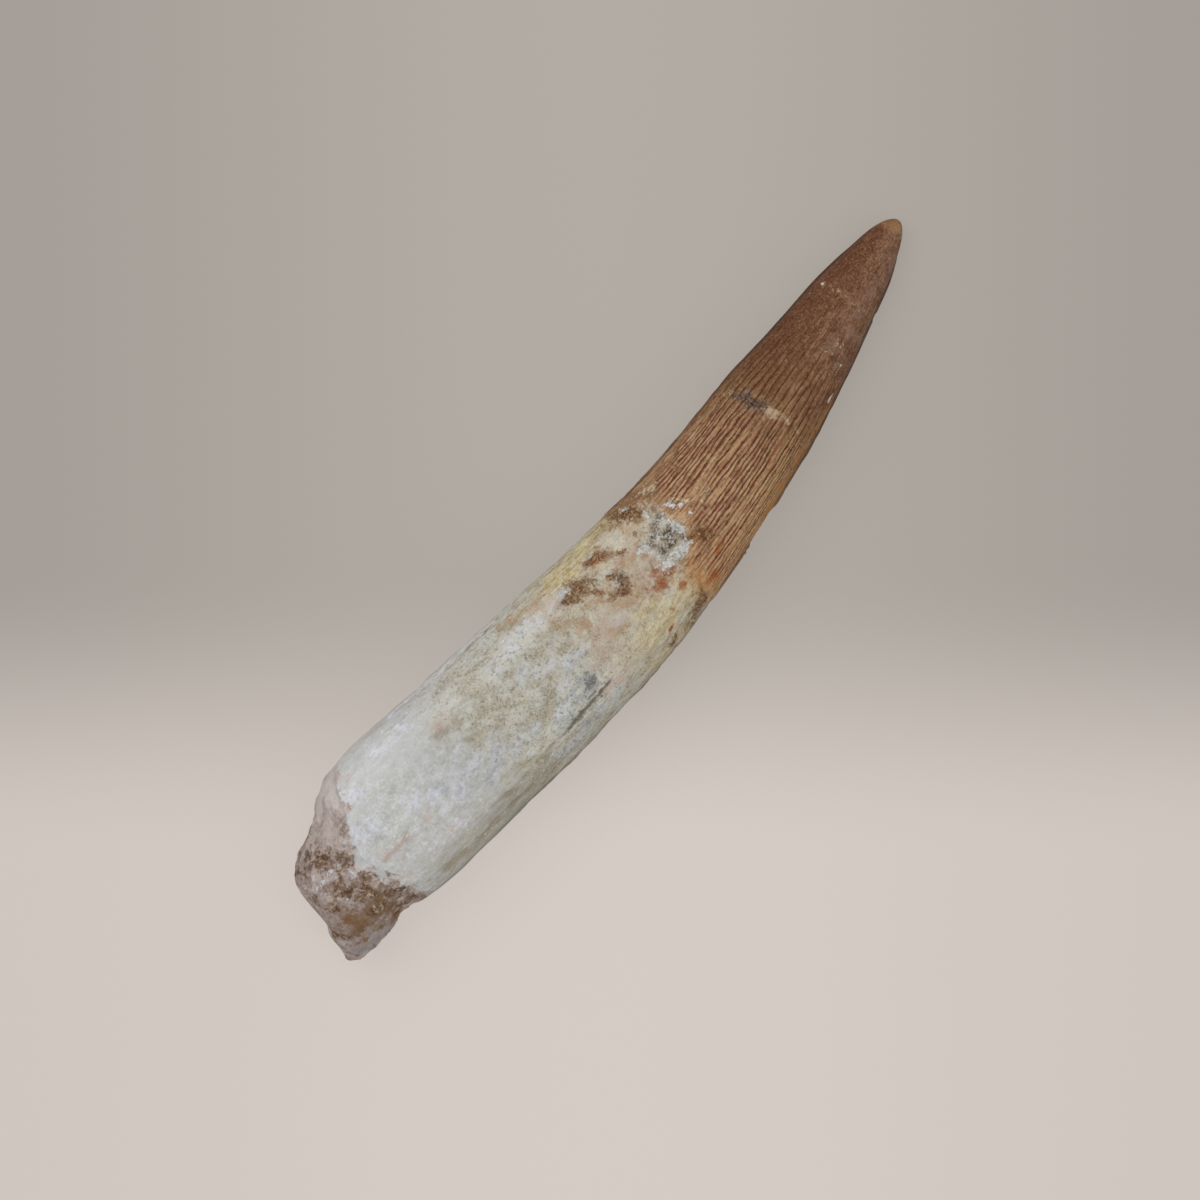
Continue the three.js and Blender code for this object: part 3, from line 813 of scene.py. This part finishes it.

# Both together, with the stains and crusts over them, painted shade in the furrows, and the sediment over
# all.
colour = root.painted(enamel_paint, ragged_border.ease(-0.6, 0.9))
colour = colour.painted((124, 94, 62), finish.patch("umber", small, 5.0, -0.4, 0.9) * 0.65)
rust_paint = grit.ramp([(0.4, 128, 70, 34), (0.5, 156, 89, 42), (0.6, 186, 120, 70)])
colour = colour.painted(rust_paint, finish.patch("rust", small, 4.0, -0.6, 1.2) * 0.92)
colour = colour.painted((166, 112, 54), finish.patch("amber", small, 4.0, -0.4, 0.9) * 0.65)
# Painted shade: the furrows and some edges are painted dark.
colour = colour.painted((88, 82, 70), finish.patch("furrow", small, 4.5, -0.2, 1.0) * 0.75)
crumb = finish.patch("crumbs", small * 0.7 + fine * 0.3, 9.0, -0.58, 0.62)
crust = finish.patch("crust", small, 6.0, -0.2, 0.7)
chalk = finish.patch("chalk", clumps, 8.0, -0.15, 0.7)
dark_grains = clumps.ease(0.53, 0.45)
pale_grains = clumps.ease(0.5, 0.57)
chalk_paint = clumps.ramp([
    (0.4, 138, 130, 116), (0.46, 195, 192, 185), (0.51, 227, 229, 227), (0.57, 238, 239, 239),
])
sand = finish.patch("sand", fine, 8.0, 0.8, 1.3)
colour = colour.painted((206, 184, 152), sand * 0.85)
colour = colour.painted((154, 143, 127), crust * 0.7)
colour = colour.painted((80, 64, 46), crust * dark_grains * 0.9)
colour = colour.painted((216, 215, 209), crust * pale_grains * 0.9)
colour = colour.painted((136, 91, 50), crumb * 0.86)
colour = colour.painted((86, 54, 30), crumb * dark_grains * 0.72)
colour = colour.painted((198, 176, 146), crumb * clumps.ease(0.495, 0.56) * 0.62)
colour = colour.painted(chalk_paint, chalk * 0.95)
bruise_paint = clumps.ramp([(0.43, 54, 36, 30), (0.5, 88, 66, 55), (0.57, 140, 118, 106)])
colour = colour.painted(bruise_paint, finish.patch("bruise", small, 4.0, -0.4, 0.4) * 0.9)
colour = colour.painted((180, 157, 128), finish.patch("filling", small, 7.0, -0.5, 1.0) * 0.75)
colour = colour.painted((212, 196, 186), finish.patch("chips", small, 1.5, 0.0, 0.9))
colour = colour.painted((214, 212, 196), finish.patch("flecks", small, 5.0, -0.3, 0.8) * 0.75)
colour = sediment_colour(finish).painted(colour, past_contact_mask(finish))
finish.use("Base Color", colour)

# Dull dentine and smoother enamel, with the finest grooves and grains as a bump.
finish.use("Roughness", border.ease(-0.5, 0.5, 0.8, 0.5) + (fine - 0.5) * 0.3)
finish.shader.inputs["Specular IOR Level"].default_value = DULL_SHINE
height = (line + between_line) * -0.3 + fine * 0.2 + streak * border.ease(-0.5, 0.5, 0.0, 0.2)
height = height + swelling * 1.6 * border.ease(0.5, -0.5) * zone.ease(20, 34, 0.6, 1.0)
height = height + (crumb + crust + chalk) * (clumps - 0.5) + sand * 0.15
finish.bump(height, 0.5)

# ----------------------------------------------------------------------
# The matrix. A lump of hard brown sediment that is still cemented to the root's broken end. It is
# made as a fine craggy form, and stands for the plain solid of the same name.

MATRIX_LENGTH = 20.0
MATRIX_EDGES = [
    (0, -1.2, -1.2, 6.3, 6.3),
    (0.6, 0.2, -2.1, 7.9, 4.9),
    (1.1, 2.1, -2.6, 8.9, 4.1),
    (2.2, 4.0, -2.9, 10.3, 3.3),
    (3.1, 7.3, -3.0, 11.8, 2.7),
    (4.0, 9.8, -3.15, 12.7, 2.3),
    (5.6, 11.2, -3.4, 13.6, 1.8),
    (7.2, 12.0, -3.55, 14.2, 1.6),
    (9.2, 12.3, -3.15, 14.7, 1.4),
    (11.0, 12.7, -3.6, 15.1, 1.4),
    (12.4, 13.1, -4.5, 15.2, 1.6),
    (13.4, 13.7, -4.2, 15.1, 2.2),
    (14.6, 14.3, 2.5, 15.0, 3.4),
    (15.8, 14.75, 7.6, 14.6, 4.6),
    (17.6, 15.15, 11.4, 13.0, 6.0),
    (MATRIX_LENGTH, 15.05, 15.05, 9.2, 9.2),
]
MATRIX_SECTORS, MATRIX_RINGS = 240, 170
# Heights of the crags, of the ridges between them, of crumbs and of sparkles, in millimetres.
CRAG, KNOB, CLEFT, GRIT = 0.35, 0.25, 0.12, 0.12
SOIL_HEIGHT, SOIL_CRUMB, SPARK_HEIGHT = 0.04, 0.1, 0.12
matrix_edges = edge_curve(MATRIX_EDGES)
MATRIX_MARKS = {
    # Dark brown crumbs.
    "soil": Marks(
        matrix_edges,
        [
            (8.4, 9.0, 11.0, 6.8, 1.3), (9.2, 9.6, 10.0, 8.8, 0.8), (7.0, 5.0, 9.0, 6.2, 0.7),
            (7.8, 3.8, 9.4, 1.4, 1.1), (10.0, 3.6, 11.2, 2.4, 0.8), (7.6, -0.2, 9.0, -1.0, 0.8),
            (10.6, -0.4, 12.8, -2.0, 0.8), (9.2, -2.6, 12.4, -3.2, 0.7), (10.0, 3.2, 11.4, 1.4, 0.6),
            (5.2, 10.8, 7.0, 9.6, 0.6), (2.0, 2.0, 2.6, 0.4, 0.5), (4.2, 4.8, 5.0, 3.6, 0.6),
            (8.0, 11.0, 9.2, 10.2, 0.6),
        ],
        [(4, 5, 7, 6, 1.5), (9, 3, 11, 0, 1.6), (13, 9, 16, 11, 1.5), (6, 0, 8, -1, 1.0)],
    ),
    # Ochre stains.
    "ochre": Marks(
        matrix_edges,
        [(4.8, 1.1, 8.2, -0.8, 2.1), (6.2, -2.3, 9.0, -2.8, 0.7), (1.6, 2.2, 2.0, 1.8, 0.4)],
        [(3, 2, 6, 1, 1.2), (10, 8, 12, 9, 1.3)],
    ),
    # Pinkish grey flush towards the root.
    "mauve": Marks(
        matrix_edges,
        [
            (11.4, 10.2, 15.0, 12.4, 1.6), (11.6, 8.4, 13.4, 9.0, 1.2), (9.6, 4.8, 10.6, 4.2, 0.5),
            (8.6, 11.6, 11.0, 12.0, 0.7), (6.6, 7.8, 7.0, 8.8, 0.8),
        ],
        [(14, 12, 17, 13, 2.0), (8, 6, 10, 8, 1.4)],
    ),
    # Pale flush at the very edge of the root.
    "blanch": Marks(
        matrix_edges,
        [
            (13.6, 13.4, 17.0, 14.4, 1.5), (16.4, 12.4, 19.6, 14.4, 1.5), (11.0, 4.6, 11.6, 1.0, 0.5),
            (16.2, 11.0, 17.2, 12.0, 0.6),
        ],
        [(14, 12, 17, 13, 2.0)],
    ),
    # Bluish grey places.
    "ash": Marks(
        matrix_edges,
        [(2.6, -2.3, 6.4, -2.7, 0.8), (1.4, -0.6, 2.2, -1.6, 0.8)],
        [(3, -1, 5, -2, 1.0)],
    ),
    # White sparkles.
    "spark": Marks(
        matrix_edges,
        [
            (6.2, 8.4, 6.3, 8.8, 0.35), (6.4, 7.4, 6.8, 7.2, 0.4), (7.8, 7.1, 8.2, 7.2, 0.4),
            (5.6, 7.4, 5.7, 7.6, 0.3), (6.5, 4.2, 6.6, 3.6, 0.35), (9.8, 5.2, 10.0, 4.6, 0.35),
            (8.4, 4.6, 8.6, 4.4, 0.25), (4.6, 8.4, 4.7, 8.2, 0.25), (11.4, 1.4, 11.5, 0.6, 0.3),
        ],
        [(7, 4, 7.2, 4.4, 0.4), (12, 8, 12.2, 8, 0.35)],
    ),
}
bm = bmesh.new()
bmesh.ops.create_uvsphere(bm, u_segments=MATRIX_SECTORS, v_segments=MATRIX_RINGS, radius=1)
layers = {name: bm.verts.layers.float.new(name) for name in (*MATRIX_MARKS, "contact")}
# Taken from the sphere's foot, so that the faces point outwards on a form that runs the other way.
for ring, verts in enumerate(reversed(sphere_rings(bm, MATRIX_RINGS))):
    share = ring / MATRIX_RINGS
    along = MATRIX_LENGTH * (share ** 1.5 * 0.9 + 0.1 * share)
    edges = matrix_edges(along)
    close = {name: marks.close_to(along) for name, marks in MATRIX_MARKS.items()}
    slender = min(1.0, (edges[0] - edges[1]) / 6)
    for vert in verts:
        angle = math.atan2(vert.co.y, vert.co.x)
        point = oval_point(edges, along, angle)
        mark = {name: marks.strength(close[name], point) for name, marks in MATRIX_MARKS.items()}
        contact = capped(past_contact(point))
        relief = CRAG * lumps(point, 3.1) + KNOB * lumps(point, 1.5) - CLEFT * abs(lumps(point, 0.9))
        relief += GRIT * crumbly(point, 1.1)
        relief += ease(mark["soil"], -0.3, 0.7) * (SOIL_HEIGHT + SOIL_CRUMB * crumbly(point, 0.7))
        relief += SPARK_HEIGHT * ease(mark["spark"], 0.0, 0.8)
        calm = max(ease(contact, -1.5, 0.5), ease(mark["blanch"], -0.3, 0.5))
        point += outward(angle, ring, MATRIX_RINGS) * slender * relief * (1 - 0.9 * calm)
        for name, value in {**mark, "contact": contact}.items():
            vert[layers[name]] = value
        vert.co = (point - ORIGIN) * MM
for face in bm.faces:
    face.smooth = True
matrix = made_object(bm, "matrix_lump")
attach(matrix, "root")
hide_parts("matrix")

finish = Finish(matrix, "brown sediment")
cloud = finish.noise(1.6, 6, 0.72, seed=40)
small = finish.noise(0.7, 6, 0.72, seed=9)
fine = finish.noise(0.45, 4, 0.7, seed=41)
grit = finish.noise(0.6, 4, 0.72, seed=31)
colour = sediment_colour(finish)
colour = colour.painted((194, 181, 175), finish.patch("mauve", small, 6.0, -0.3, 0.9) * 0.7)
colour = colour.painted((208, 197, 192), finish.patch("blanch", small, 3.0, -0.5, 0.5) * 0.85)
colour = colour.painted((118, 86, 48), finish.patch("ochre", cloud, 5.0, -0.6, 0.7) * 0.85)
colour = colour.painted((158, 153, 153), finish.patch("ash", small, 5.0, -0.4, 0.9) * 0.75)
soil_paint = grit.ramp([
    (0.4, 76, 50, 30), (0.47, 105, 76, 51), (0.54, 137, 109, 86), (0.61, 184, 168, 154),
])
soil = finish.patch("soil", small, 5.0, -0.3, 0.8)
colour = colour.painted(soil_paint, soil * 0.84)
colour = colour.painted((214, 213, 216), finish.patch("spark", fine, 8.0, 0.4, 1.2) * 0.8)
colour = colour.painted(pale_dentine_colour(finish.noise(1.7, 7, 0.78, seed=5)), past_contact_mask(finish))
finish.use("Base Color", colour)
finish.shader.inputs["Roughness"].default_value = 0.85
finish.shader.inputs["Specular IOR Level"].default_value = DULL_SHINE
finish.bump(cloud * 1.2 + fine * 0.5 + soil * (grit - 0.5) * 0.5, 0.6)

# ----------------------------------------------------------------------
# The surface that the fossil lies on: a plain pale sheet, painted lighter at the front and a little darker
# at the sides as painted light and shade, and glowing with painted light of its own.

FLOOR_HALF_WIDTH = 3
# The floor's own directions, and how far from the middle its painted light and shade change, in metres.
FRONT_TO_BACK = (0.806, 0.592, 0)
LEFT_TO_RIGHT = (0.592, -0.806, 0)
PAINTED_LIGHT_FADES = (-0.0367, 0.0015)
PAINTED_SHADE_AT_SIDES = 0.09
GLOW = 0.78
bm = bmesh.new()
bmesh.ops.create_grid(bm, x_segments=1, y_segments=1, size=FLOOR_HALF_WIDTH)
floor = made_object(bm, "floor")
finish = Finish(floor, "pale paper with painted light and shade")
values = {0: finish.place, 1: FRONT_TO_BACK}
back = finish.start.node("ShaderNodeVectorMath", {"operation": "DOT_PRODUCT"}, values, "Value")
values = {0: finish.place, 1: LEFT_TO_RIGHT}
right = finish.start.node("ShaderNodeVectorMath", {"operation": "DOT_PRODUCT"}, values, "Value")
back = back.ease(*PAINTED_LIGHT_FADES)
middle_painted_light = back.ramp([(0, 211, 202, 195), (1, 177, 170, 162)])
sides_painted_shade = back.ramp([(0, 205, 196, 189), (1, 163, 156, 150)])
colour = middle_painted_light.painted(sides_painted_shade, right.maths("ABSOLUTE", right).ease(0.0, PAINTED_SHADE_AT_SIDES))
# Painted light: the floor glows with its own colour, so that shadows on it are faint.
finish.use("Base Color", colour.painted((0, 0, 0), GLOW))
finish.use("Emission Color", colour)
finish.shader.inputs["Emission Strength"].default_value = GLOW
finish.shader.inputs["Roughness"].default_value = 0.9
finish.shader.inputs["Specular IOR Level"].default_value = 0.0

# ----------------------------------------------------------------------
# Camera and light. The camera looks straight down, turned so that the tip points up and to the
# right. Three wide soft lamps and an even sky light the fossil.

VIEW_WIDTH = 0.1564
VIEW_CENTRE = (-0.002975, -0.00164)
VIEW_TURN = -53.7
CAMERA_HEIGHT = 0.9
HALF_THICKNESS = 0.008
SENSOR = 36
camera = bpy.data.objects.new("camera", bpy.data.cameras.new("camera"))
camera.data.sensor_width = SENSOR
camera.data.lens = SENSOR * CAMERA_HEIGHT / VIEW_WIDTH
camera.location = (*VIEW_CENTRE, CAMERA_HEIGHT + HALF_THICKNESS)
camera.rotation_euler = (0, 0, math.radians(VIEW_TURN))
camera.data.clip_end = 10
bpy.context.collection.objects.link(camera)
bpy.context.scene.camera = camera


def soft_light(name, location, size, power):
    """A square lamp that points at the fossil and isn't seen itself."""
    lamp = bpy.data.lights.new(name, "AREA")
    lamp.shape = "SQUARE"
    lamp.size = size
    lamp.energy = power
    holder = bpy.data.objects.new(name, lamp)
    holder.location = location
    holder.rotation_euler = (-Vector(location)).to_track_quat("-Z", "Y").to_euler()
    holder.visible_camera = False
    bpy.context.collection.objects.link(holder)


soft_light("key", (0.0, 0.6, 1.05), 1.0, 7.6)
soft_light("overhead", (-0.1, -0.1, 1.3), 1.0, 3.0)
soft_light("fill", (0.15, -0.8, 0.75), 0.6, 1.6)
world = bpy.data.worlds.new("studio")
world.use_nodes = True
world.node_tree.nodes["Background"].inputs["Color"].default_value = (1.0, 1.0, 1.0, 1)
world.node_tree.nodes["Background"].inputs["Strength"].default_value = 0.5
bpy.context.scene.world = world
bpy.context.scene.view_settings.view_transform = "Standard"
